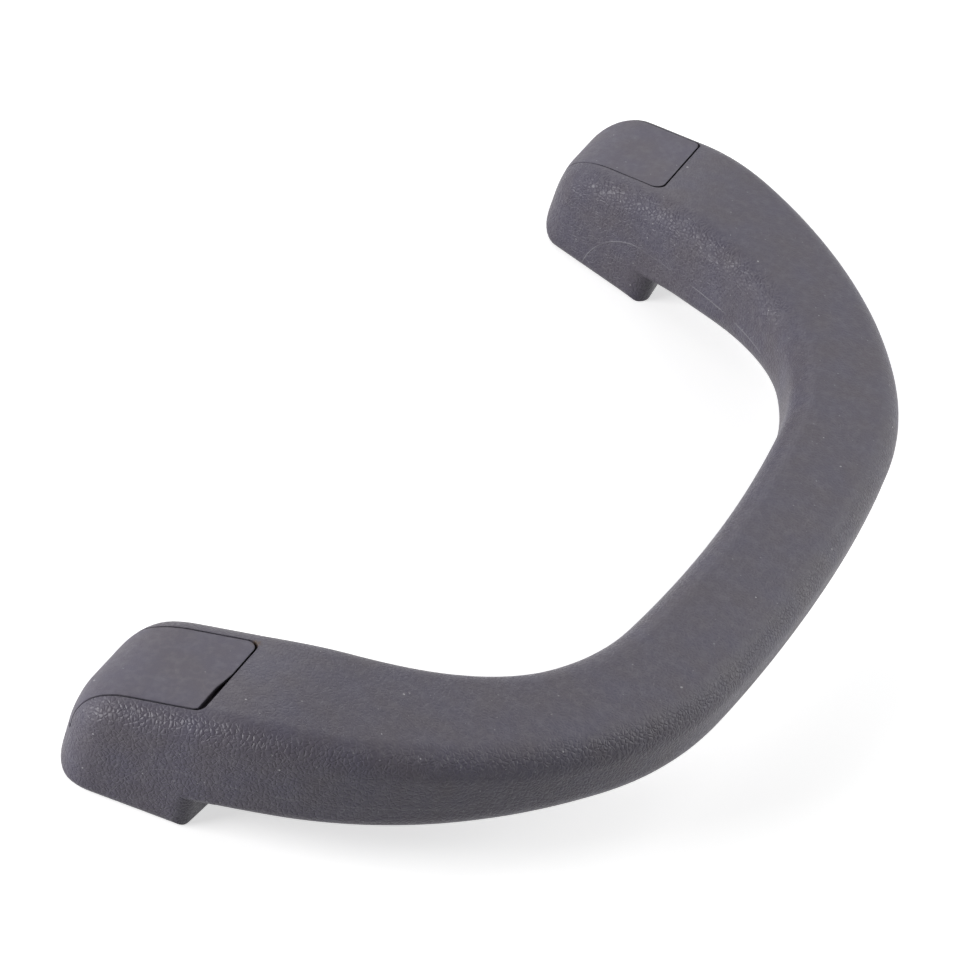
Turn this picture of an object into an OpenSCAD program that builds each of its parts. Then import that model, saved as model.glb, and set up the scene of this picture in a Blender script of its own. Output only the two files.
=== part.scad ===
// Roof grab handle: a one-piece moulded U grip, two hinged screw covers and two steel sleeves for the screws.
// The mounting surface is Z = 0, the screws stand on the X axis, and the bow leaves them towards +Y.

/* [Bow] */
// Distance between the two screw holes
screw_spacing = 214; // [200:1:232]
// How far each foot leans outward towards its tip, in degrees
lean = 12; // [9:0.5:14]
// Radius of the bow's centre line along each limb
limb_r = 91; // [80:1:100]
// Angle that the limb arc turns through
limb_turn = 29.5; // [26:0.5:32]
// Radius of the bow's centre line at its corners
corner_r = 66.5; // [58:0.5:70]
// Angle that the corner arc turns through
corner_turn = 42; // [38:0.5:44]
// Height of the bow's centre line over the mounting surface
bow_z = 18.4; // [16:0.2:20]

/* [Section] */
// Width at the feet
foot_w = 32; // [30:0.5:35]
// Width halfway along each limb
limb_w = 23.4; // [21:0.2:27]
// Width at the middle of the grip
grip_w = 23; // [20:0.5:26]
// Height of the top over the centre line at the feet
foot_top = 8.5; // [8:0.1:11]
// Height of the top over the centre line at the grip
grip_top = 8.9; // [7:0.1:10]
// Depth of the underside below the centre line at the heels
heel_under = 10.8; // [10:0.1:12]
// Depth of the underside halfway along each limb
limb_under = 8.1; // [7:0.1:10]
// Depth of the underside at the grip
grip_under = 7.3; // [6.5:0.1:9]
// Radius along the top edges
top_round = 5.4; // [4:0.1:6]
// Radius along the lower edges at the feet
foot_round = 2; // [1:0.1:3]
// Radius along the lower edges halfway along each limb
limb_round = 6.2; // [4:0.1:6.4]
// Radius along the lower edges at the grip
grip_round = 8; // [6:0.1:8.6]

/* [Feet] */
// Distance from the screw hole to the foot's tip
tip_back = 11.9; // [11:0.1:16]
// Distance from the screw hole to the foot's heel
heel_ahead = 16.1; // [14:0.1:18]
// How much further the heel reaches on the bow's inner side than at the foot's middle
heel_slant = 1.4; // [0:0.1:2]
// Radius of the heel's corners, seen from below
heel_round = 4; // [2:0.5:6]
// Slope of the top towards the tip, in degrees
tip_slope = 13; // [6:0.5:15]
// Length over which the slope fades out, past the cover
slope_fade = 16; // [12:1:30]
// Rounding of the tip's shoulder, measured along the foot
shoulder_run = 9.9; // [6:0.1:10.5]
// Rounding of the tip's shoulder, measured downward
shoulder_fall = 5.4; // [3:0.1:7]
// Rounding of the tip's lower edge
toe_round = 4.8; // [2:0.1:5]
// Rounding of the tip's upright corner on the bow's outer side
tip_round_out = 9.2; // [6:0.1:10]
// Rounding of the tip's upright corner on the bow's inner side
tip_round_in = 5.4; // [4:0.1:8]

/* [Screw covers] */
// Width of each cover
cover_w = 22.6; // [18:0.1:23]
// Distance from the screw hole to the cover's inner edge
cover_ahead = 10.6; // [10:0.1:12]
// How far the cover sits outward of the foot's middle
cover_out = 0.8; // [0:0.1:1.5]
// Wall of the cover
cover_t = 2; // [1.6:0.1:2.4]
// Thickness of the cover's thin rim
rim_t = 0.9; // [0.6:0.1:1.1]
// Width of that rim, measured in from the cover's edges
rim_w = 0.8; // [0.6:0.1:1.2]
// Gap round the cover
cover_gap = 0.4; // [0.25:0.05:0.5]
// Corner radius of the cover
cover_round = 2; // [1:0.1:3.5]
// Radius of the cover's hinge barrel
barrel_r = 1.7; // [1.5:0.05:1.9]
// Length of that barrel
barrel_l = 14.6; // [12:0.2:16]
// Radius of the hinge pins
pin_r = 0.8; // [0.7:0.05:0.95]
// Length of each hinge pin
pin_l = 1.5; // [1:0.1:2]
// Radial clearance of the hinge pins in their sockets
pin_clear = 0.06; // [0.04:0.01:0.1]
// Height of the hinge line over the mounting surface
hinge_z = 8.6; // [8:0.1:9.2]
// Width of the leg that holds the cover shut
leg_w = 7; // [5:0.5:9]
// Thickness of that leg
leg_t = 1.2; // [1:0.1:1.6]
// Length of that leg below the cover's wall
leg_l = 4; // [3:0.1:5]
// Distance from that leg to the cover's inner edge
leg_back = 2.2; // [2:0.1:3]
// Length of the pried part of the right cover's inner edge, at its full depth
pried_l = 6.8; // [4:0.1:10]
// Length over which the pried part runs out
pried_taper = 4.8; // [3:0.1:8]
// Depth of the pried part
pried_d = 0.7; // [0.4:0.1:1]

/* [Screw seats] */
// Thickness of the floor that each screw clamps
seat_h = 8; // [6.5:0.1:9]
// Radius of the pocket round each screw head
pocket_r = 8.2; // [7.5:0.1:8.6]
// Radius of the hole in each steel sleeve
sleeve_hole_r = 3.3; // [2.7:0.05:3.6]
// Radius of the outside of each steel sleeve
sleeve_r = 4.8; // [4.4:0.05:5.4]

/* [Hidden] */
$fn = 48;
limb_steps = 10;
corner_steps = 13;
grip_steps = 5;
arc_points = 6;
far = 60;
// Small overlap that keeps two cuts from sharing a face
skim = 0.05;
// Length over which the rings turn from the foot's direction to square across the bow
turn_run = 45;
// Length of the heel's step, past which the limb's own section begins
heel_step = 1.2;
cover_edge = cover_ahead;
tip_l = tip_back + cover_edge;
foot_x = screw_spacing / 2 - tan(lean) * cover_edge;
heel_run = heel_ahead + heel_slant - cover_edge;
hinge_y = barrel_r - tip_back;
barrel_half = barrel_l / 2;
// Room round the barrel in which the cover's wall swings
trough_r = barrel_r + 0.8;
// Room between a pin's end and its socket's end
pin_room = 0.2;
// Height of the web that joins a hinge lug to the foot
web_h = 3;
// Length that the foot's full depth runs past the heel before it is cut off
heel_past = 0.2;

// The centre line falls towards the tip, and reaches the bow's height slope_fade past the cover's edge.
function rise() = tan(tip_slope) * slope_fade / 2;
function foot_rise(v) = v < 0 ? tan(tip_slope) * v
    : v < slope_fade ? tan(tip_slope) * (v - v * v / (2 * slope_fade)) : rise();
function centre_z(y) = bow_z - rise() + foot_rise(y - cover_edge);

function ease(t) = let (k = min(max(t, 0), 1)) k * k * (3 - 2 * k);
function blend3(a, b, c, g) = g < 0.5 ? a + (b - a) * ease(2 * g) : b + (c - b) * ease(2 * g - 1);
// How far a rounded end has drawn in at distance d from it, for a quarter ellipse.
function end_round(d, run, fall) = d >= run ? 0 : fall * (1 - sqrt(max(1 - pow((run - d) / run, 2), 0)));

// Stations of the centre line: [x, y, heading, distance from the tip along Y while on the foot].
function arc_to(p, h, r, t) = [p[0] + r * (cos(h) - cos(h + t)), p[1] + r * (sin(h + t) - sin(h)), h + t];
foot_start = [-foot_x, cover_edge, lean];
limb_end = arc_to(foot_start, lean, limb_r, limb_turn);
corner_end = arc_to(limb_end, lean + limb_turn, corner_r, corner_turn);
grip_turn = 90 - lean - limb_turn - corner_turn;
grip_r = -corner_end[0] / cos(corner_end[2]);
limb_l = limb_r * limb_turn * PI / 180;
corner_l = corner_r * corner_turn * PI / 180;
grip_l = grip_r * grip_turn * PI / 180;
bow_l = limb_l + corner_l + grip_l;
function foot_station(y) = [-foot_x - tan(lean) * (cover_edge - y), y, lean];
foot_stations = concat(
    [for (a = [0 : 15 : 90]) foot_station(shoulder_run * (1 - cos(a)) - tip_back)],
    [for (k = [1 : 4]) foot_station(shoulder_run - tip_back + k * (tip_l - shoulder_run) / 4)]);
// One rounded box section: [across, up] points from the top left, clockwise seen along the heading.
function corner_points(cx, cy, r, from) =
    [for (k = [0 : arc_points]) let (a = from - 90 * k / arc_points) [cx + r * cos(a), cy + r * sin(a)]];
function section(w, top, under, r_top, r_low) = let (
    a = min(r_top, w * 0.49, (top + under) * 0.45), b = min(r_low, w * 0.49, (top + under) * 0.5))
    concat(corner_points(a - w / 2, top - a, a, 180), corner_points(w / 2 - a, top - a, a, 90),
        corner_points(w / 2 - b, b - under, b, 0), corner_points(b - w / 2, b - under, b, -90));

function depth_under(g) = blend3(heel_under, limb_under, grip_under, g);

// A ring of the loft, run past the cover's edge and drawn in by inset on all sides: it lies along X
// on the foot, and turns to square across the bow.
function ring(st, run, on_foot, inset) = let (
    g = run / bow_l,
    d = st[1] + tip_back,
    in_out = end_round(d, tip_round_out, tip_round_out),
    in_in = end_round(d, tip_round_in, tip_round_in),
    w = blend3(foot_w, limb_w, grip_w, g) - in_out - in_in - 2 * inset,
    across = (in_in - in_out) / 2,
    top = foot_top + (grip_top - foot_top) * ease(g) - end_round(d, shoulder_run, shoulder_fall) - inset,
    zc = centre_z(st[1]),
    under = on_foot ? zc - end_round(d, toe_round, toe_round) - inset
        : depth_under(g) - inset,
    r_low = blend3(foot_round, limb_round, grip_round, g),
    skew = st[2] * ease(run / turn_run),
    stretch = 1 / cos(st[2] - skew))
    [for (p = section(w, top, under, max(top_round - inset, 1), max(r_low - inset, 0.5)))
        let (a = (p[0] + across) * stretch) [st[0] - a * cos(skew), st[1] + a * sin(skew), zc + p[1]]];

// Quads between neighbouring rings, split into triangles, with a fan over each end.
function tube_faces(rings, n) = concat(
    [for (i = [0 : rings - 2]) for (j = [0 : n - 1])
        let (a = i * n + j, b = i * n + (j + 1) % n) [a, b, b + n]],
    [for (i = [0 : rings - 2]) for (j = [0 : n - 1])
        let (a = i * n + j, b = i * n + (j + 1) % n) [a, b + n, a + n]],
    [[for (j = [n - 1 : -1 : 0]) j]], [[for (j = [0 : n - 1]) (rings - 1) * n + j]]);
module loft(rings) {
    n = len(rings[0]);
    polyhedron(points = [for (r = rings) each r], faces = tube_faces(len(rings), n), convexity = 6);
}

// Lengths past the cover's edge at which the rings stand: the pad's end, then the three arcs.
function bow_station(run) = run < limb_l ? arc_to(foot_start, lean, limb_r, run / limb_l * limb_turn)
    : run < limb_l + corner_l
    ? arc_to(limb_end, limb_end[2], corner_r, (run - limb_l) / corner_l * corner_turn)
    : arc_to(corner_end, corner_end[2], grip_r, (run - limb_l - corner_l) / grip_l * grip_turn);
heel_runs = [heel_run / 2, heel_run + heel_past];
limb_start = heel_run + heel_step;
bow_runs = concat(
    [for (k = [0 : limb_steps - 1]) limb_start + (limb_l - limb_start) * k / limb_steps],
    [for (k = [0 : corner_steps - 1]) limb_l + corner_l * k / corner_steps],
    [for (k = [0 : grip_steps]) limb_l + corner_l + grip_l * k / grip_steps]);

// The whole bow: the left half's rings, then the same rings mirrored for the right half.
half_rings = concat(
    [for (st = foot_stations) ring(st, 0, true, 0)],
    [for (run = heel_runs) ring(bow_station(run), run, true, 0)],
    [for (run = bow_runs) ring(bow_station(run), run, false, 0)]);
whole_bow = concat(half_rings,
    [for (i = [len(half_rings) - 2 : -1 : 0]) [for (p = half_rings[i]) [-p[0], p[1], p[2]]]]);

// The left foot alone, shrunk by inset on all its outer faces, as far as the heel.
module foot_block(inset) {
    ys = concat([for (a = [0 : 15 : 90]) inset + (shoulder_run - inset) * (1 - cos(a)) - tip_back],
        [for (k = [1 : 3]) shoulder_run - tip_back + k * (heel_ahead - shoulder_run + tip_back) / 3]);
    loft([for (y = ys) ring(foot_station(y), 0, true, inset)]);
}

// Plan of the left cover, grown on all sides by grow: its sides run along the foot.
function foot_mid(y) = -foot_x - tan(lean) * (cover_edge - y);
function cover_mid(y) = foot_mid(y) - cover_out;
module cover_plan(grow) {
    inner = cover_edge + grow;
    offset(r = cover_round) offset(delta = -cover_round)
        polygon([for (s = [-1, 1]) for (e = s < 0 ? [-far, inner] : [inner, -far])
            [cover_mid(e) + s * (cover_w / 2 + grow), e]]);
}
module cover_prism(grow) {
    translate([0, 0, hinge_z]) linear_extrude(far) cover_plan(grow);
}

// A bar along X on the hinge line, centred on the left cover.
module hinge_bar(r, half) {
    translate([cover_mid(hinge_y) - half, hinge_y, hinge_z]) rotate([0, 90, 0]) cylinder(r = r, h = 2 * half);
}
// Both ends of such a bar, outward of inner.
module hinge_ends(r, inner, half) {
    for (x = [-half, inner]) translate([cover_mid(hinge_y) + x, hinge_y, hinge_z]) rotate([0, 90, 0])
        cylinder(r = r, h = half - inner);
}

// The foot's side of the hinge: a lug past each end of the barrel, on a web, with a pin that points inward.
module hinge_lugs() {
    lug_in = barrel_half + cover_gap;
    lug_out = cover_w / 2 + 2 * cover_gap;
    hinge_ends(barrel_r, lug_in, lug_out);
    hinge_ends(pin_r, barrel_half - pin_l, lug_out);
    for (x = [-lug_out, lug_in]) translate([cover_mid(hinge_y) + x, hinge_y - pin_r, hinge_z - web_h])
        cube([lug_out - lug_in, pin_r + barrel_r, web_h]);
}

// The leg that holds the cover shut in its slot, grown on all sides by grow.
module catch_leg(grow) {
    w = leg_w + 2 * grow;
    leg_y = cover_edge - leg_back - leg_t;
    low = centre_z(leg_y) + foot_top - cover_t - leg_l - grow;
    translate([cover_mid(leg_y) - w / 2, leg_y - grow, low])
        cube([w, leg_t + 2 * grow, leg_l + grow + cover_t / 2]);
}

// Wear at the pried corner of a cover: the gap at its inner edge widens towards the outer corner.
module pried_edge() {
    corner_x = cover_mid(cover_edge) - cover_w / 2;
    back = cover_edge - pried_d;
    past = cover_edge + cover_gap;
    translate([0, 0, hinge_z]) linear_extrude(far)
        polygon([[corner_x - cover_gap, back], [corner_x + pried_l, back],
            [corner_x + pried_l + pried_taper, cover_edge], [corner_x + pried_l + pried_taper, past],
            [corner_x - cover_gap, past]]);
}

module left_cover(pried) {
    difference() {
        union() {
            difference() {
                intersection() {
                    foot_block(0);
                    cover_prism(0);
                }
                foot_block(cover_t);
                difference() {
                    foot_block(rim_t);
                    cover_prism(-rim_w);
                }
            }
            hinge_bar(barrel_r, barrel_half);
        }
        hinge_ends(barrel_r + cover_gap, barrel_half, cover_w);
        hinge_ends(pin_r + pin_clear, barrel_half - pin_l - pin_room, cover_w);
        if (pried) pried_edge();
    }
    catch_leg(0);
}

// All that the left foot has cut out of it.
module left_foot_cuts() {
    difference() {
        cover_prism(cover_gap);
        foot_block(cover_t + cover_gap);
        hinge_lugs();
    }
    difference() {
        hinge_bar(trough_r, cover_w / 2 + cover_gap);
        hinge_lugs();
    }
    catch_leg(cover_gap);
    translate([-screw_spacing / 2, 0, seat_h]) cylinder(r = pocket_r, h = far);
    translate([-screw_spacing / 2, 0, -1]) cylinder(r = sleeve_r, h = far);
    heel_cut();
}

// What the left foot's full depth leaves past its heel: it goes, down to the limb, whose section runs on
// to the pad.
module heel_cut() {
    half = foot_w / 2 / cos(lean) + skim;
    cut_from = heel_ahead - heel_slant - heel_round;
    cut_to = cover_edge + limb_start + heel_past;
    limb_runs = concat(0, heel_runs, bow_runs[0], bow_runs[1]);
    difference() {
        translate([0, 0, -1]) linear_extrude(bow_z) difference() {
            translate([foot_mid(heel_ahead) - foot_w, cut_from]) square([2 * foot_w, cut_to - cut_from]);
            offset(r = heel_round) offset(delta = -heel_round)
                polygon([for (s = [-1, 1]) let (heel = heel_ahead + s * heel_slant)
                    for (e = s < 0 ? [-tip_back, heel] : [heel, -tip_back]) [foot_mid(e) + s * half, e]]);
        }
        loft([for (run = limb_runs) ring(bow_station(run), run, false, -skim)]);
    }
}

module grip_body() {
    color([0.36, 0.35, 0.39]) difference() {
        loft(whole_bow);
        for (m = [0, 1]) mirror([m, 0, 0]) left_foot_cuts();
    }
}
module left_screw_cover() {
    color([0.41, 0.4, 0.43]) left_cover(false);
}
module right_screw_cover() {
    color([0.41, 0.4, 0.43]) mirror([1, 0, 0]) left_cover(true);
}
module sleeve(side) {
    color("silver") translate([side * screw_spacing / 2, 0, 0]) difference() {
        cylinder(r = sleeve_r, h = seat_h);
        translate([0, 0, -1]) cylinder(r = sleeve_hole_r, h = seat_h + 2);
    }
}
module left_sleeve() {
    sleeve(-1);
}
module right_sleeve() {
    sleeve(1);
}

grip_body();
left_screw_cover();
right_screw_cover();
left_sleeve();
right_sleeve();
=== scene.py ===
"""Roof grab handle: the moulded grip, its two screw covers and the steel sleeves, on a white studio table."""
import math
import bmesh
import bpy
from mathutils import Euler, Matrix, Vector


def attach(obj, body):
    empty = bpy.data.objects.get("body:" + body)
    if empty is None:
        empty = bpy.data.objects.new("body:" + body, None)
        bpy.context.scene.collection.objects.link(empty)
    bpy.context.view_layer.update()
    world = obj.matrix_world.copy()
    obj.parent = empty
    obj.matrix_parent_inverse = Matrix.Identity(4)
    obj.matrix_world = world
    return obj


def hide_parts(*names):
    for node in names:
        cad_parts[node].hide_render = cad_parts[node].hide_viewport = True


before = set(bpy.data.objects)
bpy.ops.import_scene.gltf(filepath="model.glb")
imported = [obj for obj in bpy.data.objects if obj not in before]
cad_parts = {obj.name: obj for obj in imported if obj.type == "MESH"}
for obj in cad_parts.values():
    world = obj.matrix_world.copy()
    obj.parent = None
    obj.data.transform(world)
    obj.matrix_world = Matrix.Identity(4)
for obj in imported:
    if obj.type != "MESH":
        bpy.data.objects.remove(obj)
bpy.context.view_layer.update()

# Driving sizes of the moulding, in millimetres and degrees, as in the part's source
SCREW_SPACING, LEAN = 214.0, 12.0
LIMB_R, LIMB_TURN, CORNER_R, CORNER_TURN = 91.0, 29.5, 66.5, 42.0
BOW_Z = 18.4
FOOT_W, LIMB_W, GRIP_W = 32.0, 23.4, 23.0
FOOT_TOP, GRIP_TOP = 8.5, 8.9
HEEL_UNDER, LIMB_UNDER, GRIP_UNDER = 10.8, 8.1, 7.3
TOP_ROUND, FOOT_ROUND, LIMB_ROUND, GRIP_ROUND = 5.4, 2.0, 6.2, 8.0
TIP_BACK, HEEL_AHEAD, HEEL_SLANT, HEEL_ROUND = 11.9, 16.1, 1.4, 4.0
TIP_SLOPE, SLOPE_FADE = 13.0, 16.0
SHOULDER_RUN, SHOULDER_FALL, TOE_ROUND, TIP_ROUND_OUT, TIP_ROUND_IN = 9.9, 5.4, 4.8, 9.2, 5.4
COVER_W, COVER_EDGE, COVER_OUT, COVER_T = 22.6, 10.6, 0.8, 2.0
COVER_GAP, COVER_ROUND, RIM_T, RIM_W = 0.4, 2.0, 0.9, 0.8
BARREL_R, BARREL_HALF, TROUGH_R = 1.7, 7.3, 2.5
PIN_R, PIN_L, PIN_CLEAR, PIN_ROOM, WEB_H, HINGE_Z = 0.8, 1.5, 0.06, 0.2, 3.0, 8.6
LEG_W, LEG_T, LEG_L, LEG_BACK = 7.0, 1.2, 4.0, 2.2
PRIED_L, PRIED_TAPER, PRIED_D = 6.8, 4.8, 0.7
SEAT_H, POCKET_R, SLEEVE_R = 8.0, 8.2, 4.8
TURN_RUN, HEEL_STEP, HEEL_PAST, SKIM = 45.0, 1.2, 0.2, 0.05

# How fine the meshes are: steps along and round the moulding, rods, rounded corners, welds and sharp edges
MM = 0.001
RING_STEP, SHOULDER_RINGS, ARC_POINTS = 1.5, 14, 12
ROD_SIDES, CORNER_STEPS, WELD, SHARP_ANGLE = 64, 8, 0.002 * MM, 28
# How far a cutting tool passes the surface that it opens, and the length of one that goes through
PAST, FAR = 1.0, 60.0
# A section's roundings: the most as a share of its width and of its height, above and below, and the least
ROUND_W, ROUND_TOP, ROUND_LOW = 0.49, 0.45, 0.5
LEAST_TOP, LEAST_LOW = 1.0, 0.5

SLOPE = math.tan(math.radians(TIP_SLOPE))
RISE = SLOPE * SLOPE_FADE / 2
TAN_LEAN = math.tan(math.radians(LEAN))
FOOT_X = SCREW_SPACING / 2 - TAN_LEAN * COVER_EDGE
HINGE_Y = BARREL_R - TIP_BACK


def foot_rise(v):
    """Height of the centre line past the cover's edge, from where it falls towards the tip."""
    if v < 0:
        return SLOPE * v
    return SLOPE * (v - v * v / (2 * SLOPE_FADE)) if v < SLOPE_FADE else RISE


def centre_z(y):
    return BOW_Z - RISE + foot_rise(y - COVER_EDGE)


def ease(t):
    """A smooth step from 0 to 1."""
    k = min(max(t, 0.0), 1.0)
    return k * k * (3 - 2 * k)


def blend3(a, b, c, g):
    """From a through b to c, as g goes from 0 to 1."""
    return a + (b - a) * ease(2 * g) if g < 0.5 else b + (c - b) * ease(2 * g - 1)


def end_round(d, run, fall):
    """How far a rounded end has drawn in at distance d from it, for a quarter ellipse."""
    if d >= run:
        return 0.0
    return fall * (1 - math.sqrt(max(1 - ((run - d) / run) ** 2, 0)))


def arc_to(p, heading, radius, turn):
    """Where an arc from p ends, and its heading there, in degrees from +Y towards +X."""
    h, t = math.radians(heading), math.radians(turn)
    return (p[0] + radius * (math.cos(h) - math.cos(h + t)), p[1] + radius * (math.sin(h + t) - math.sin(h)),
            heading + turn)


FOOT_START = (-FOOT_X, COVER_EDGE, LEAN)
LIMB_END = arc_to(FOOT_START, LEAN, LIMB_R, LIMB_TURN)
CORNER_END = arc_to(LIMB_END, LIMB_END[2], CORNER_R, CORNER_TURN)
GRIP_TURN = 90 - LEAN - LIMB_TURN - CORNER_TURN
GRIP_R = -CORNER_END[0] / math.cos(math.radians(CORNER_END[2]))
ARCS = [(FOOT_START, LIMB_R, LIMB_TURN), (LIMB_END, CORNER_R, CORNER_TURN), (CORNER_END, GRIP_R, GRIP_TURN)]
BOW_L = sum(math.radians(turn) * r for _, r, turn in ARCS)

# Along the centre line from the cover's edge: the heel, the limb's start, and the foot's rings up to the heel
HEEL_RUN = HEEL_AHEAD + HEEL_SLANT - COVER_EDGE
LIMB_START = HEEL_RUN + HEEL_STEP
HEEL_RUNS = [RING_STEP, 2 * RING_STEP, 3 * RING_STEP, HEEL_RUN + HEEL_PAST]


def foot_mid(y):
    return -FOOT_X - TAN_LEAN * (COVER_EDGE - y)


def cover_mid(y):
    return foot_mid(y) - COVER_OUT


def foot_station(y):
    return (foot_mid(y), y, LEAN)


def bow_station(run):
    """Point and heading of the centre line, run millimetres past the cover's edge."""
    for start, r, turn in ARCS:
        if run <= r * math.radians(turn) + 1e-9:
            return arc_to(start, start[2], r, math.degrees(run / r))
        run -= r * math.radians(turn)
    return (0.0, CORNER_END[1] + GRIP_R * (1 - math.sin(math.radians(CORNER_END[2]))), 90.0)


def section(w, top, under, r_top, r_low):
    """A rounded box as (across, up) points, from the top left round by the right."""
    a = min(r_top, w * ROUND_W, (top + under) * ROUND_TOP)
    b = min(r_low, w * ROUND_W, (top + under) * ROUND_LOW)
    corners = ((a - w / 2, top - a, a, 180), (w / 2 - a, top - a, a, 90),
               (w / 2 - b, b - under, b, 0), (b - w / 2, b - under, b, -90))
    out = []
    for cx, cy, r, start in corners:
        for k in range(ARC_POINTS + 1):
            t = math.radians(start - 90 * k / ARC_POINTS)
            out.append((cx + r * math.cos(t), cy + r * math.sin(t)))
    return out


def ring(station, run, on_foot, inset=0.0):
    """One closed section of the moulding, drawn in by inset, run millimetres past the cover's edge."""
    x, y, heading = station
    g = max(run, 0.0) / BOW_L
    d = y + TIP_BACK
    in_out, in_in = end_round(d, TIP_ROUND_OUT, TIP_ROUND_OUT), end_round(d, TIP_ROUND_IN, TIP_ROUND_IN)
    w = blend3(FOOT_W, LIMB_W, GRIP_W, g) - in_out - in_in - 2 * inset
    across = (in_in - in_out) / 2
    top = FOOT_TOP + (GRIP_TOP - FOOT_TOP) * ease(g) - end_round(d, SHOULDER_RUN, SHOULDER_FALL) - inset
    zc = centre_z(y)
    if on_foot:
        under = zc - end_round(d, TOE_ROUND, TOE_ROUND) - inset
    else:
        under = blend3(HEEL_UNDER, LIMB_UNDER, GRIP_UNDER, g) - inset
    r_low = blend3(FOOT_ROUND, LIMB_ROUND, GRIP_ROUND, g)
    skew = math.radians(heading * ease(run / TURN_RUN))
    stretch = 1 / math.cos(math.radians(heading) - skew)
    points = []
    for p, q in section(w, top, under, max(TOP_ROUND - inset, LEAST_TOP), max(r_low - inset, LEAST_LOW)):
        a = (p + across) * stretch
        points.append((x - a * math.cos(skew), y + a * math.sin(skew), zc + q))
    return points


def foot_ys(inset, last):
    """Places of the foot's rings: close together round the shoulder, then RING_STEP apart."""
    ys = [inset + (SHOULDER_RUN - inset) * (1 - math.cos(math.radians(90 * k / SHOULDER_RINGS))) - TIP_BACK
          for k in range(SHOULDER_RINGS + 1)]
    count = math.ceil((last - ys[-1]) / RING_STEP)
    return ys + [ys[-1] + (last - ys[-1]) * k / count for k in range(1, count + 1)]


def half_bow():
    """The rings of the left half, from the far foot's tip to the middle of the grip."""
    rings = [ring(foot_station(y), 0.0, True) for y in foot_ys(0.0, COVER_EDGE)]
    runs = [(r, True) for r in HEEL_RUNS]
    count = math.ceil((BOW_L - LIMB_START) / RING_STEP)
    runs += [(LIMB_START + (BOW_L - LIMB_START) * k / count, False) for k in range(count + 1)]
    return rings + [ring(bow_station(r), r, foot) for r, foot in runs]


def whole_bow():
    left = half_bow()
    return left + [[(-x, y, z) for x, y, z in r] for r in reversed(left[:-1])]


def new_object(name, verts, faces):
    mesh = bpy.data.meshes.new(name)
    mesh.from_pydata([Vector(v) * MM for v in verts], [], faces)
    mesh.update()
    obj = bpy.data.objects.new(name, mesh)
    bpy.context.collection.objects.link(obj)
    return obj


def loft(name, rings):
    """A closed skin over rings of points, with a flat cap at each end."""
    n = len(rings[0])
    faces = [[i * n + j, i * n + (j + 1) % n, (i + 1) * n + (j + 1) % n, (i + 1) * n + j]
             for i in range(len(rings) - 1) for j in range(n)]
    faces += [list(range(n - 1, -1, -1)), [(len(rings) - 1) * n + j for j in range(n)]]
    return outward(new_object(name, [v for r in rings for v in r], faces))


def outward(obj):
    """The same object with all its faces turned outward."""
    bm = bmesh.new()
    bm.from_mesh(obj.data)
    bmesh.ops.recalc_face_normals(bm, faces=bm.faces)
    bm.to_mesh(obj.data)
    bm.free()
    return obj


def prism(name, outline, low, high):
    """An outline of (x, y) points carried from one height to another."""
    n = len(outline)
    verts = [(x, y, z) for z in (low, high) for x, y in outline]
    faces = [[j, (j + 1) % n, n + (j + 1) % n, n + j] for j in range(n)]
    return outward(new_object(name, verts, faces + [list(range(n)), list(range(n, 2 * n))]))


def rod(name, start, axis, r, length):
    """A cylinder from start, along X or Z."""
    x, y, z = start
    angles = [2 * math.pi * k / ROD_SIDES for k in range(ROD_SIDES)]
    turn = [(r * math.cos(t), r * math.sin(t)) for t in angles]
    if axis == "x":
        rings = [[(x + t, y + a, z + b) for a, b in turn] for t in (0, length)]
    else:
        rings = [[(x + a, y + b, z + t) for a, b in turn] for t in (0, length)]
    return loft(name, rings)


def rounded(corners, r):
    """An outline's corners as points, each rounded with radius r."""
    out = []
    for i, p in enumerate(corners):
        p = Vector(p)
        a = (Vector(corners[i - 1]) - p).normalized()
        b = (Vector(corners[(i + 1) % len(corners)]) - p).normalized()
        half = a.angle(b) / 2
        centre = p + (a + b).normalized() * (r / math.sin(half))
        start = (p + a * (r / math.tan(half))) - centre
        end = (p + b * (r / math.tan(half))) - centre
        sweep = start.angle_signed(end)
        for k in range(CORNER_STEPS + 1):
            t = -sweep * k / CORNER_STEPS
            c, s = math.cos(t), math.sin(t)
            out.append((centre.x + start.x * c - start.y * s, centre.y + start.x * s + start.y * c))
    return out


def outline_between(mid, half, y0, y1, slant=0.0):
    """A four-cornered outline with its middle along mid, from y0 to y1, where slant turns its far end."""
    out, inn = y1 - slant, y1 + slant
    return [(mid(y0) - half, y0), (mid(out) - half, out), (mid(inn) + half, inn), (mid(y0) + half, y0)]


def cover_prism(grow):
    """The left cover's outline, carried up through the foot."""
    corners = outline_between(cover_mid, COVER_W / 2 + grow, -FAR, COVER_EDGE + grow)
    return prism("cover_prism", rounded(corners, COVER_ROUND), HINGE_Z, HINGE_Z + FAR)


def foot_block(inset):
    """The left foot by itself, drawn in by inset."""
    return loft("foot_block", [ring(foot_station(y), 0.0, True, inset) for y in foot_ys(inset, HEEL_AHEAD)])


def hinge_rod(r, start, stop):
    """A rod on the hinge line, between two distances from the left cover's middle."""
    return rod("hinge_rod", (cover_mid(HINGE_Y) + start, HINGE_Y, HINGE_Z), "x", r, stop - start)


def hinge_ends(r, inner, outer):
    """Two rods on the hinge line, each from inner to outer on its side of the cover's middle."""
    return [hinge_rod(r, -outer, -inner), hinge_rod(r, inner, outer)]


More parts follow.
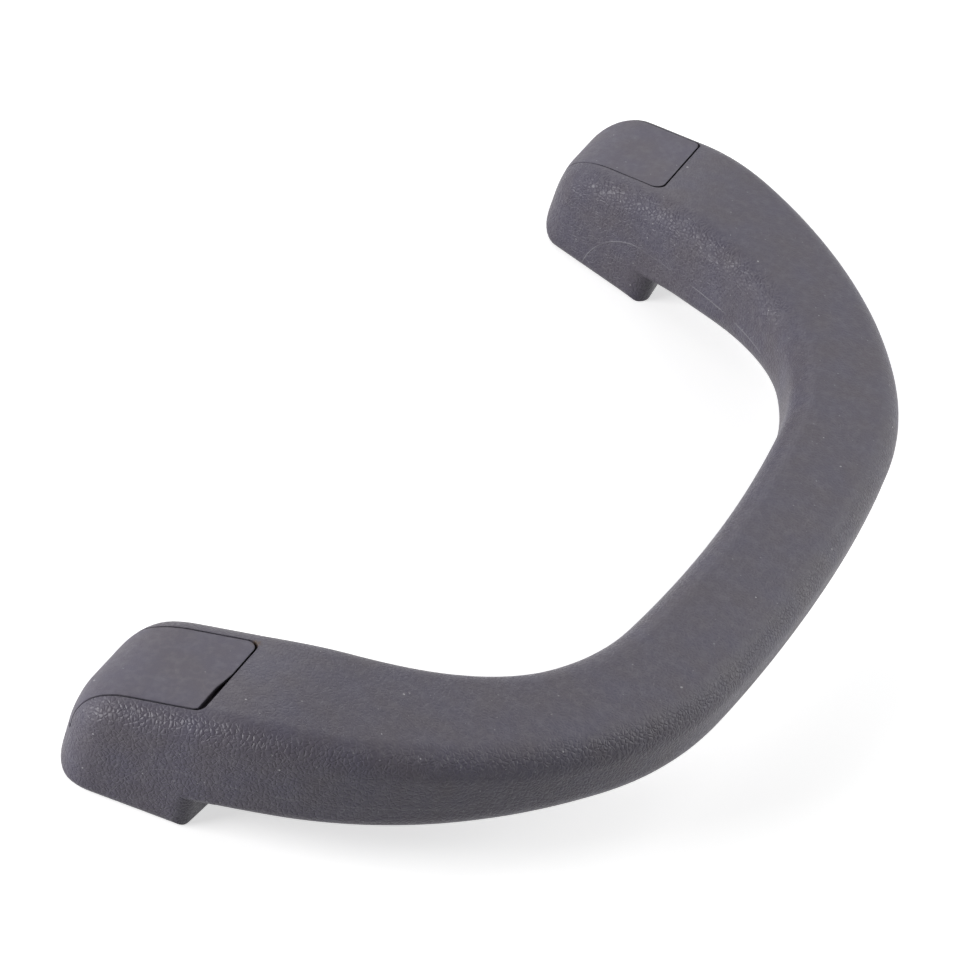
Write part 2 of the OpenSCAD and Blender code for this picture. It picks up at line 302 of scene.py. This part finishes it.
def hinge_lugs():
    """The foot's side of the hinge: lugs past the barrel's ends, on webs, with pins that point inward."""
    lug_in, lug_out = BARREL_HALF + COVER_GAP, COVER_W / 2 + 2 * COVER_GAP
    webs = []
    for x in (cover_mid(HINGE_Y) - lug_out, cover_mid(HINGE_Y) + lug_in):
        x1, y0, y1 = x + lug_out - lug_in, HINGE_Y - PIN_R, HINGE_Y + BARREL_R
        webs.append(prism("web", [(x, y0), (x1, y0), (x1, y1), (x, y1)], HINGE_Z - WEB_H, HINGE_Z))
    return hinge_ends(BARREL_R, lug_in, lug_out) + hinge_ends(PIN_R, BARREL_HALF - PIN_L, lug_out) + webs


def catch_leg(grow):
    """The leg that holds the left cover at its inner edge, and with grow the slot for it."""
    w, leg_y = LEG_W + 2 * grow, COVER_EDGE - LEG_BACK - LEG_T
    x, y0, y1 = cover_mid(leg_y) - w / 2, leg_y - grow, leg_y + LEG_T + grow
    low = centre_z(leg_y) + FOOT_TOP - COVER_T - LEG_L - grow
    high = low + LEG_L + grow + COVER_T / 2
    return prism("catch_leg", [(x, y0), (x + w, y0), (x + w, y1), (x, y1)], low, high)


def heel_cut():
    """What the left foot's full depth leaves past its rounded heel, down to the limb that runs into it."""
    half = FOOT_W / 2 / math.cos(math.radians(LEAN)) + SKIM
    pad = rounded(outline_between(foot_mid, half, -TIP_BACK, HEEL_AHEAD, HEEL_SLANT), HEEL_ROUND)
    y0, y1 = HEEL_AHEAD - HEEL_SLANT - HEEL_ROUND, COVER_EDGE + LIMB_START + HEEL_PAST
    x0, x1 = foot_mid(HEEL_AHEAD) - FOOT_W, foot_mid(HEEL_AHEAD) + FOOT_W
    box = prism("heel_box", [(x0, y0), (x1, y0), (x1, y1), (x0, y1)], -PAST, BOW_Z - PAST)
    runs = [0] + HEEL_RUNS + [LIMB_START, LIMB_START + RING_STEP]
    limb = loft("limb", [ring(bow_station(run), run, False, -SKIM) for run in runs])
    return combined(box, [("DIFFERENCE", prism("pad", pad, -2 * PAST, BOW_Z)), ("DIFFERENCE", limb)])


def combined(obj, steps):
    """Runs boolean steps on obj in order, keeps the result as its mesh, and deletes the tools."""
    for k, (kind, tool) in enumerate(steps):
        mod = obj.modifiers.new(f"step_{k}", "BOOLEAN")
        mod.operation, mod.object, mod.solver = kind, tool, "MANIFOLD"
    depsgraph = bpy.context.evaluated_depsgraph_get()
    mesh = bpy.data.meshes.new_from_object(obj.evaluated_get(depsgraph))
    obj.modifiers.clear()
    obj.data = mesh
    for tool in {t for _, t in steps}:
        bpy.data.objects.remove(tool)
    return obj


def mirrored(obj):
    """The same object on the other side of the YZ plane."""
    for v in obj.data.vertices:
        v.co.x = -v.co.x
    obj.data.flip_normals()
    return obj


def left_cuts():
    """Everything that the left foot has cut out of it."""
    x = -SCREW_SPACING / 2
    half = COVER_W / 2 + COVER_GAP
    shell = [("DIFFERENCE", tool) for tool in [foot_block(COVER_T + COVER_GAP)] + hinge_lugs()]
    return [
        combined(cover_prism(COVER_GAP), shell),
        combined(hinge_rod(TROUGH_R, -half, half), [("DIFFERENCE", tool) for tool in hinge_lugs()]),
        catch_leg(COVER_GAP),
        rod("well", (x, 0, SEAT_H), "z", POCKET_R, FAR),
        rod("seat", (x, 0, -PAST), "z", SLEEVE_R, FAR),
        heel_cut(),
    ]


def finish_mesh(obj):
    """Smooth shading up to the sharp angle, on a mesh with no doubled points."""
    bm = bmesh.new()
    bm.from_mesh(obj.data)
    bmesh.ops.remove_doubles(bm, verts=bm.verts, dist=WELD)
    bmesh.ops.dissolve_degenerate(bm, edges=bm.edges, dist=WELD)
    bm.to_mesh(obj.data)
    bm.free()
    obj.data.shade_smooth()
    obj.data.set_sharp_from_angle(angle=math.radians(SHARP_ANGLE))
    return obj


def make_grip():
    """The bow with both feet, and all that the feet have cut out of them."""
    cuts = left_cuts() + [mirrored(c) for c in left_cuts()]
    grip = combined(loft("grip_moulding", whole_bow()), [("DIFFERENCE", c) for c in cuts])
    return finish_mesh(grip)


def pried_edge():
    """Wear at the pried corner of a cover: the gap at its inner edge widens towards the outer corner."""
    x = cover_mid(COVER_EDGE) - COVER_W / 2
    x0, x1, x2 = x - COVER_GAP, x + PRIED_L, x + PRIED_L + PRIED_TAPER
    back, past = COVER_EDGE - PRIED_D, COVER_EDGE + COVER_GAP
    return prism("pried_edge", [(x0, back), (x1, back), (x2, COVER_EDGE), (x2, past), (x0, past)],
                 HINGE_Z, HINGE_Z + FAR)


def make_cover(name, pried):
    """The left foot's screw cover: the foot's own skin, thinner at its rim, with barrel, sockets and leg."""
    rebate = combined(foot_block(RIM_T), [("DIFFERENCE", cover_prism(-RIM_W))])
    steps = [("INTERSECT", cover_prism(0)), ("DIFFERENCE", foot_block(COVER_T)), ("DIFFERENCE", rebate),
             ("UNION", hinge_rod(BARREL_R, -BARREL_HALF, BARREL_HALF))]
    holes = hinge_ends(BARREL_R + COVER_GAP, BARREL_HALF, COVER_W)
    holes += hinge_ends(PIN_R + PIN_CLEAR, BARREL_HALF - PIN_L - PIN_ROOM, COVER_W)
    if pried:
        holes.append(pried_edge())
    steps += [("DIFFERENCE", tool) for tool in holes] + [("UNION", catch_leg(0))]
    cover = combined(foot_block(0), steps)
    cover.name = name
    return finish_mesh(cover)


# Materials: sizes in metres, texture scales in cells per metre, strengths and shares from 0 to 1

# The parting line: where its arc over a pad ends, the arc's length and height, its climb, its width, and the
# paleness of the painted glints along it
LINE_Y, LINE_RUN, LINE_Z, LINE_CLIMB, LINE_W, LINE_GLINT_PALENESS = 0.0135, 0.0128, 0.0132, 0.06, 0.0004, 0.3
CLOUD_SCALE, FINE_SCALE, FINE_HEIGHT = 110.0, 1900.0, 0.3
# Pebbles, as shares of their size: how fast and how far they are pushed about, and how wide their creases are
WARP_SCALE, WARP_REACH, CREASE_W = 0.7, 0.4, 0.3
# The power that rounds the pebbles off, and the share of their height that wear leaves on top
PEBBLE_POWER, WORN_HEIGHT = 0.7, 0.4
# The pale colour of dust, scuffs and painted glints; for the specks, which are partly dust and partly painted
# glints on the grain: the share of cells that hold a grain, and the smallest grain against the spread of
# sizes
PALE_DUST_AND_GLINT, DUST_AND_GLINT_SHARE, DUST_AND_GLINT_SMALLEST = (0.55, 0.54, 0.56), 0.13, 0.3
# Two kinds of specks, partly dust and partly painted glints: the spacing of the cells that may hold a grain,
# the grain's size and its strength
DUST_AND_GLINT_KINDS = ((0.0011, 0.0004, 0.25), (0.0020, 0.0005, 0.6))
SCUFF_SCALE, SCUFF_SHARE = 600.0, 0.06
# Painted shade laid deep in narrow gaps: its near-black colour, and how far the gap test looks for walls
GAP_SHADE_COLOUR, GAP_DEPTH = (0.012, 0.010, 0.012), 0.0015
BROWN_DIRT = (0.09, 0.06, 0.04)
CRUMB_PLACE, CRUMB_REACH, CRUMB_SCALE = (0.0945, 0.0102, 0.0246), 0.0013, 1500.0
EDGE_SOFTNESS, SHEEN, ROUGHNESS_SPREAD = 0.0003, 0.35, 0.05
STEEL_DARK, STEEL_PALE, TURNING_SCALE = (0.5, 0.5, 0.52), (0.62, 0.62, 0.64), 3000.0


class Graph:
    """A node tree, with short calls to add and link nodes."""

    def __init__(self, tree):
        self.tree = tree

    def node(self, kind, inputs=None, **settings):
        made = self.tree.nodes.new(kind)
        for key, value in settings.items():
            setattr(made, key, value)
        for key, value in (inputs or {}).items():
            self.put(made.inputs[key], value)
        return made

    def put(self, socket, value):
        if isinstance(value, bpy.types.NodeSocket):
            self.tree.links.new(value, socket)
        else:
            socket.default_value = value

    def math(self, operation, a, b=0.0):
        return self.node("ShaderNodeMath", {0: a, 1: b}, operation=operation).outputs[0]

    def ramp(self, value, low, high, to_low=0.0, to_high=1.0):
        made = self.node("ShaderNodeMapRange", {"From Min": low, "From Max": high, "To Min": to_low,
                                                "To Max": to_high, "Value": value})
        return made.outputs["Result"]

    def mix(self, factor, a, b):
        """Colour a, or b where the factor is 1. Sockets 0, 6, 7 and 2 are the mix node's for colours."""
        return self.node("ShaderNodeMix", {0: factor, 6: a, 7: b}, data_type="RGBA").outputs[2]


class Material(Graph):
    """A new material, whose tree holds one Principled shader."""

    def __init__(self, name):
        self.mat = bpy.data.materials.new(name)
        self.mat.use_nodes = True
        super().__init__(self.mat.node_tree)
        self.shader = self.tree.nodes["Principled BSDF"]


def rgba(r, g, b):
    return (r, g, b, 1.0)


def axes(g, vector):
    """A vector's three numbers."""
    return g.node("ShaderNodeSeparateXYZ", {"Vector": vector}).outputs


def noise(g, where, scale, detail=2.0):
    return g.node("ShaderNodeTexNoise", {"Vector": where, "Scale": scale, "Detail": detail}).outputs["Fac"]


def dust_and_glint_specks(g, where, spacing, size):
    """White where a few random cells, a spacing apart, hold a pale speck up to size across, partly dust and
    partly a painted glint.
    """
    cells = g.node("ShaderNodeTexVoronoi", {"Vector": where, "Scale": 1 / spacing})
    pick = g.node("ShaderNodeSeparateColor", {"Color": cells.outputs["Color"]}).outputs
    chosen = g.math("LESS_THAN", pick[0], DUST_AND_GLINT_SHARE)
    largest = size / 2 / spacing
    reach = g.math("MULTIPLY", g.math("ADD", pick[1], DUST_AND_GLINT_SMALLEST), largest / (1 + DUST_AND_GLINT_SMALLEST))
    return g.math("MULTIPLY", chosen, g.math("LESS_THAN", cells.outputs["Distance"], reach))


def warped(g, where, scale, amount):
    """Texture places pushed about by a noise, so that cells lose their straight walls."""
    push = g.node("ShaderNodeTexNoise", {"Vector": where, "Scale": scale, "Detail": 1.0})
    moved = g.node("ShaderNodeVectorMath", {0: push.outputs["Color"], "Scale": amount}, operation="SCALE")
    return g.node("ShaderNodeVectorMath", {0: where, 1: moved.outputs[0]}, operation="ADD").outputs[0]


def pebbles(g, where, size):
    """Height of leather pebbles of the given size: flat tops with creases between them."""
    places = warped(g, where, WARP_SCALE / size, WARP_REACH * size)
    cells = g.node("ShaderNodeTexVoronoi", {"Vector": places, "Scale": 1 / size}, feature="DISTANCE_TO_EDGE")
    return g.math("POWER", g.ramp(cells.outputs["Distance"], 0.0, CREASE_W), PEBBLE_POWER)


def grain(g, where, normal, size, fine):
    """Height of the grain: pebbles with a fine noise on them, worn lower where the surface looks up."""
    worn = g.ramp(axes(g, normal)[2], 0.8, 0.98, 1.0, WORN_HEIGHT)
    height = g.math("ADD", pebbles(g, where, size), g.math("MULTIPLY", fine, FINE_HEIGHT))
    return g.math("MULTIPLY", worn, height)


def painted_gap_shade(g):
    """White deep in narrow gaps, the mask of a painted shade that darkens where little light gets in."""
    open_sky = g.node("ShaderNodeAmbientOcclusion", {"Distance": GAP_DEPTH}, samples=6)
    return g.ramp(open_sky.outputs["AO"], 0.5, 0.15)


def crumbs(g, where):
    """White on a few crumbs of dirt at the near cover's corner that faces the far foot."""
    away = g.node("ShaderNodeVectorMath", {0: where, 1: CRUMB_PLACE}, operation="DISTANCE").outputs["Value"]
    near = g.ramp(away, CRUMB_REACH, 0.3 * CRUMB_REACH)
    return g.math("MULTIPLY", near, g.ramp(noise(g, where, CRUMB_SCALE), 0.4, 0.55))


def dusted_and_glinted(g, where, base):
    """The base colour under faint scuffs, pale specks that are partly dust and partly painted glints, and
    crumbs.
    """
    scuffs = g.ramp(noise(g, where, SCUFF_SCALE, 4.0), 0.45, 0.75, 0.0, SCUFF_SHARE)
    base = g.mix(scuffs, base, rgba(*PALE_DUST_AND_GLINT))
    # Pale specks: partly dust, partly painted glints on the grain
    for spacing, size, strength in DUST_AND_GLINT_KINDS:
        base = g.mix(g.math("MULTIPLY", dust_and_glint_specks(g, where, spacing, size), strength), base, rgba(*PALE_DUST_AND_GLINT))
    return g.mix(crumbs(g, where), base, rgba(*BROWN_DIRT))


def parting_line(g, where):
    """White in patches along the mould's parting line: an arc over each pad, then along the bow's sides. It
    raises the ridge, and it carries the ridge's painted glints.
    """
    place = axes(g, where)
    before = g.math("DIVIDE", g.math("MAXIMUM", g.math("SUBTRACT", LINE_Y, place[1]), 0.0), LINE_RUN)
    past = g.math("MULTIPLY", g.math("MAXIMUM", g.math("SUBTRACT", place[1], LINE_Y), 0.0), LINE_CLIMB)
    height = g.math("DIVIDE", g.math("SUBTRACT", place[2], past), LINE_Z)
    around = g.math("SQRT", g.math("ADD", g.math("POWER", before, 2.0), g.math("POWER", height, 2.0)))
    off = g.math("MULTIPLY", g.math("ABSOLUTE", g.math("SUBTRACT", around, 1.0)), LINE_Z)
    fades = g.ramp(place[0], 0.09, -0.05, 0.3, 1.0)
    patches = g.math("MULTIPLY", g.ramp(noise(g, where, CLOUD_SCALE), 0.42, 0.6), fades)
    return g.math("MULTIPLY", g.ramp(off, LINE_W / 2, 0.0), patches)


def plastic(name, colour, pale, grain_size, grain_depth, roughness, seam):
    """Moulded plastic: slightly uneven colour, dust specks that are partly painted glints, a pebbled grain, a
    parting line of strength seam with painted glints, and painted shade in its gaps.
    """
    g = Material(name)
    places = g.node("ShaderNodeTexCoord").outputs
    where = places["Object"]
    fine = noise(g, where, FINE_SCALE)
    line = parting_line(g, where)
    cloud = g.ramp(noise(g, where, CLOUD_SCALE, 3.0), 0.35, 0.65)
    base = dusted_and_glinted(g, where, g.mix(cloud, rgba(*colour), rgba(*pale)))
    # Painted highlight: the parting line turns pale in patches, standing in for glints on its flash
    base = g.mix(g.math("MULTIPLY", line, seam * LINE_GLINT_PALENESS), base, rgba(*PALE_DUST_AND_GLINT))
    # Painted shade: the colour turns near black deep in the gaps
    g.put(g.shader.inputs["Base Color"], g.mix(painted_gap_shade(g), base, rgba(*GAP_SHADE_COLOUR)))
    g.put(g.shader.inputs["Roughness"],
          g.ramp(fine, 0.3, 0.7, roughness - ROUGHNESS_SPREAD, roughness + ROUGHNESS_SPREAD))
    height = grain(g, where, places["Normal"], grain_size, fine)
    height = g.math("ADD", height, g.math("MULTIPLY", line, seam))
    soft = g.node("ShaderNodeBevel", {"Radius": EDGE_SOFTNESS}, samples=4)
    bump = g.node("ShaderNodeBump", {"Height": height, "Distance": grain_depth, "Strength": 1.0,
                                     "Normal": soft.outputs[0]})
    g.put(g.shader.inputs["Normal"], bump.outputs["Normal"])
    g.shader.inputs["Specular IOR Level"].default_value = SHEEN
    return g.mat


def steel(name):
    g = Material(name)
    turned = noise(g, g.node("ShaderNodeTexCoord").outputs["Object"], TURNING_SCALE, 3.0)
    base = g.mix(g.ramp(turned, 0.3, 0.7), rgba(*STEEL_DARK), rgba(*STEEL_PALE))
    g.put(g.shader.inputs["Base Color"], base)
    g.shader.inputs["Metallic"].default_value = 1.0
    g.put(g.shader.inputs["Roughness"], g.ramp(turned, 0.3, 0.7, 0.28, 0.42))
    return g.mat


def dress(obj, mat):
    obj.data.materials.clear()
    obj.data.materials.append(mat)


GRAINED = plastic("grained_plastic", colour=(0.085, 0.075, 0.095), pale=(0.083, 0.076, 0.106),
                  grain_size=0.0009, grain_depth=0.00011, roughness=0.41, seam=1.0)
COVER_MATT = plastic("cover_plastic", colour=(0.101, 0.091, 0.112), pale=(0.098, 0.091, 0.123),
                     grain_size=0.0005, grain_depth=0.00004, roughness=0.55, seam=0.0)
STEEL = steel("sleeve_steel")

# The pieces

grip = make_grip()
dress(grip, GRAINED)
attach(grip, "grip")
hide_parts("grip_body")

left_cover = make_cover("left_cover_moulding", False)
right_cover = mirrored(make_cover("right_cover_moulding", True))
for cover, body in ((left_cover, "left_cover"), (right_cover, "right_cover")):
    dress(cover, COVER_MATT)
    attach(cover, body)
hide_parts("left_screw_cover")
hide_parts("right_screw_cover")
for node in ("left_sleeve", "right_sleeve"):
    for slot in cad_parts[node].material_slots:
        slot.material = STEEL


# Table, light and camera, in metres, degrees and watts

TABLE_HALF, TABLE_GREY, TABLE_GLOW = 3.0, 0.8, 0.65

MIDDLE, FAR_FOOT = (0.0, 0.04, 0.0), (-0.08, 0.03, 0.0)
# Soft boxes: azimuth from +X, elevation from the table, reach from the target, size, target and power
LAMPS = {
    "low_front": (315, 20, 1.0, 0.5, MIDDLE, 9.3),
    "back": (158, 45, 1.0, 0.5, MIDDLE, 2.0),
    "low_back": (135, 20, 1.0, 0.5, MIDDLE, 2.0),
    "far_front": (270, 40, 0.45, 0.25, FAR_FOOT, 0.26),
    "far_side": (225, 40, 0.45, 0.25, FAR_FOOT, 0.30),
    "far_bow": (90, 40, 0.45, 0.25, FAR_FOOT, 0.42),
}

# Camera solved from the photograph: its place and turn, and its lens and sensor in millimetres
CAMERA_PLACE = (0.65838, 0.1695, 0.52915)
CAMERA_TURN = (50.6094, -15.5002, 115.4376)
CAMERA_LENS, CAMERA_SENSOR = 161.24, 36.0


def seen(g):
    """One for rays that show the background: from the camera, off shiny surfaces and through clear ones."""
    rays = g.node("ShaderNodeLightPath").outputs
    direct = g.math("MAXIMUM", rays["Is Camera Ray"], rays["Is Glossy Ray"])
    return g.math("MAXIMUM", direct, rays["Is Transmission Ray"])


def make_floor():
    """A matt table that glows towards the rays that see it, so that it is white but keeps its shadows."""
    far = TABLE_HALF
    mesh = bpy.data.meshes.new("table")
    mesh.from_pydata([(-far, -far, 0), (far, -far, 0), (far, far, 0), (-far, far, 0)], [], [(0, 1, 2, 3)])
    floor = bpy.data.objects.new("table", mesh)
    bpy.context.collection.objects.link(floor)
    g = Material("table_white")
    g.shader.inputs["Base Color"].default_value = rgba(TABLE_GREY, TABLE_GREY, TABLE_GREY)
    g.shader.inputs["Roughness"].default_value = 0.9
    g.shader.inputs["Specular IOR Level"].default_value = 0.0
    strength = g.math("MULTIPLY", seen(g), TABLE_GLOW)
    glow = g.node("ShaderNodeEmission", {"Color": rgba(1, 1, 1), "Strength": strength})
    added = g.node("ShaderNodeAddShader", {0: g.shader.outputs[0], 1: glow.outputs[0]})
    g.put(g.tree.nodes["Material Output"].inputs["Surface"], added.outputs[0])
    dress(floor, g.mat)


def make_world():
    """White where rays see it, and no light of its own on the object's matt surfaces."""
    world = bpy.data.worlds.new("studio")
    bpy.context.scene.world = world
    world.use_nodes = True
    g = Graph(world.node_tree)
    sky = g.tree.nodes["Background"]
    g.put(sky.inputs["Color"], rgba(1, 1, 1))
    g.put(sky.inputs["Strength"], seen(g))


def make_light(name, azimuth, elevation, reach, size, target, power):
    """A square soft box that faces its target."""
    a, e = math.radians(azimuth), math.radians(elevation)
    away = Vector((math.cos(e) * math.cos(a), math.cos(e) * math.sin(a), math.sin(e)))
    data = bpy.data.lights.new(name, "AREA")
    data.shape, data.size, data.energy = "SQUARE", size, power
    lamp = bpy.data.objects.new(name, data)
    lamp.location = Vector(target) + away * reach
    lamp.rotation_euler = away.to_track_quat("Z", "Y").to_euler()
    bpy.context.collection.objects.link(lamp)


def make_camera():
    data = bpy.data.cameras.new("camera")
    data.sensor_width, data.lens = CAMERA_SENSOR, CAMERA_LENS
    data.clip_start, data.clip_end = 0.05, 20.0
    camera = bpy.data.objects.new("camera", data)
    camera.location = CAMERA_PLACE
    camera.rotation_euler = Euler([math.radians(a) for a in CAMERA_TURN], "XYZ")
    bpy.context.collection.objects.link(camera)
    bpy.context.scene.camera = camera


make_floor()
make_world()
for name, settings in LAMPS.items():
    make_light(name, *settings)
make_camera()

bpy.context.scene.view_settings.view_transform = "Standard"
